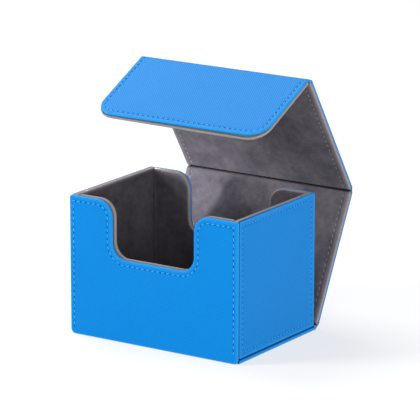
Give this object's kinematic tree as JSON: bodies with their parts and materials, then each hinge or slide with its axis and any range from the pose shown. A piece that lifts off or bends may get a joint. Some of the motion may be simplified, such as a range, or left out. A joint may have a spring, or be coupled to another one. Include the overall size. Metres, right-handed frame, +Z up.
{
  "type": "card deck box",
  "caption": "Flip-top deck box for trading cards: a lined tray with thumb notches on the base of a wrap-round cover whose back, top and front flap fold over it.",
  "frame": {"origin": "on the surface the box stands on, below the middle of its body", "axes": "+Z up, +Y from the front wall towards the rear wall and the folding cover, +X to the right seen from the front"},
  "size_m": [0.103, 0.1104, 0.1347],
  "materials": {
    "blue_leatherette": "satin",
    "grey_suede": "matte",
    "greyboard": "matte",
    "magnet": "satin"
  },
  "bodies": {
    "case": {"front_cover_skin": "blue_leatherette", "front_outer_board": "greyboard", "front_inner_board": "greyboard", "front_lining": "grey_suede", "front_magnet_left": "magnet", "front_magnet_right": "magnet", "base_cover_skin": "blue_leatherette", "base_board": "greyboard", "left_wall_skin": "blue_leatherette", "left_wall_board": "greyboard", "left_wall_lining": "grey_suede", "right_wall_skin": "blue_leatherette", "right_wall_board": "greyboard", "right_wall_lining": "grey_suede", "rear_wall_skin": "blue_leatherette", "rear_wall_board": "greyboard", "rear_wall_lining": "grey_suede", "floor_board": "greyboard", "floor_lining": "grey_suede"},
    "base_crease": {"base_crease_skin": "blue_leatherette", "base_crease_lining": "grey_suede"},
    "back_panel": {"back_panel_skin": "blue_leatherette", "back_panel_outer_board": "greyboard", "back_panel_inner_board": "greyboard", "back_panel_lining": "grey_suede"},
    "top_crease": {"top_crease_skin": "blue_leatherette", "top_crease_lining": "grey_suede"},
    "top_panel": {"top_panel_skin": "blue_leatherette", "top_panel_outer_board": "greyboard", "top_panel_inner_board": "greyboard", "top_panel_lining": "grey_suede"},
    "flap_crease": {"flap_crease_skin": "blue_leatherette", "flap_crease_lining": "grey_suede"},
    "flap": {"flap_skin": "blue_leatherette", "flap_outer_board": "greyboard", "flap_inner_board": "greyboard", "flap_lining": "grey_suede", "flap_magnet_left": "magnet", "flap_magnet_right": "magnet"}
  },
  "joints": [
    {"name": "base_fold_lower", "type": "hinge", "parent": "case", "child": "base_crease", "pos_m": [0, 0.03742, 0.00065], "axis": [1, 0, 0], "range_deg": [-31.45, 13.55]},
    {"name": "base_fold_upper", "type": "hinge", "parent": "base_crease", "child": "back_panel", "pos_m": [0, 0.04083, 0.00274], "axis": [1, 0, 0], "range_deg": [-31.45, 13.55]},
    {"name": "top_fold_lower", "type": "hinge", "parent": "back_panel", "child": "top_crease", "pos_m": [0, 0.07292, 0.06545], "axis": [1, 0, 0], "range_deg": [-29.75, 15.25]},
    {"name": "top_fold_upper", "type": "hinge", "parent": "top_crease", "child": "top_panel", "pos_m": [0, 0.07274, 0.06944], "axis": [1, 0, 0], "range_deg": [-29.75, 15.25]},
    {"name": "flap_fold_lower", "type": "hinge", "parent": "top_panel", "child": "flap_crease", "pos_m": [0, 0.03231, 0.13314], "axis": [1, 0, 0], "range_deg": [-41.75, 3.25]},
    {"name": "flap_fold_upper", "type": "hinge", "parent": "flap_crease", "child": "flap", "pos_m": [0, 0.02847, 0.13423], "axis": [1, 0, 0], "range_deg": [-41.75, 3.25]}
  ]
}
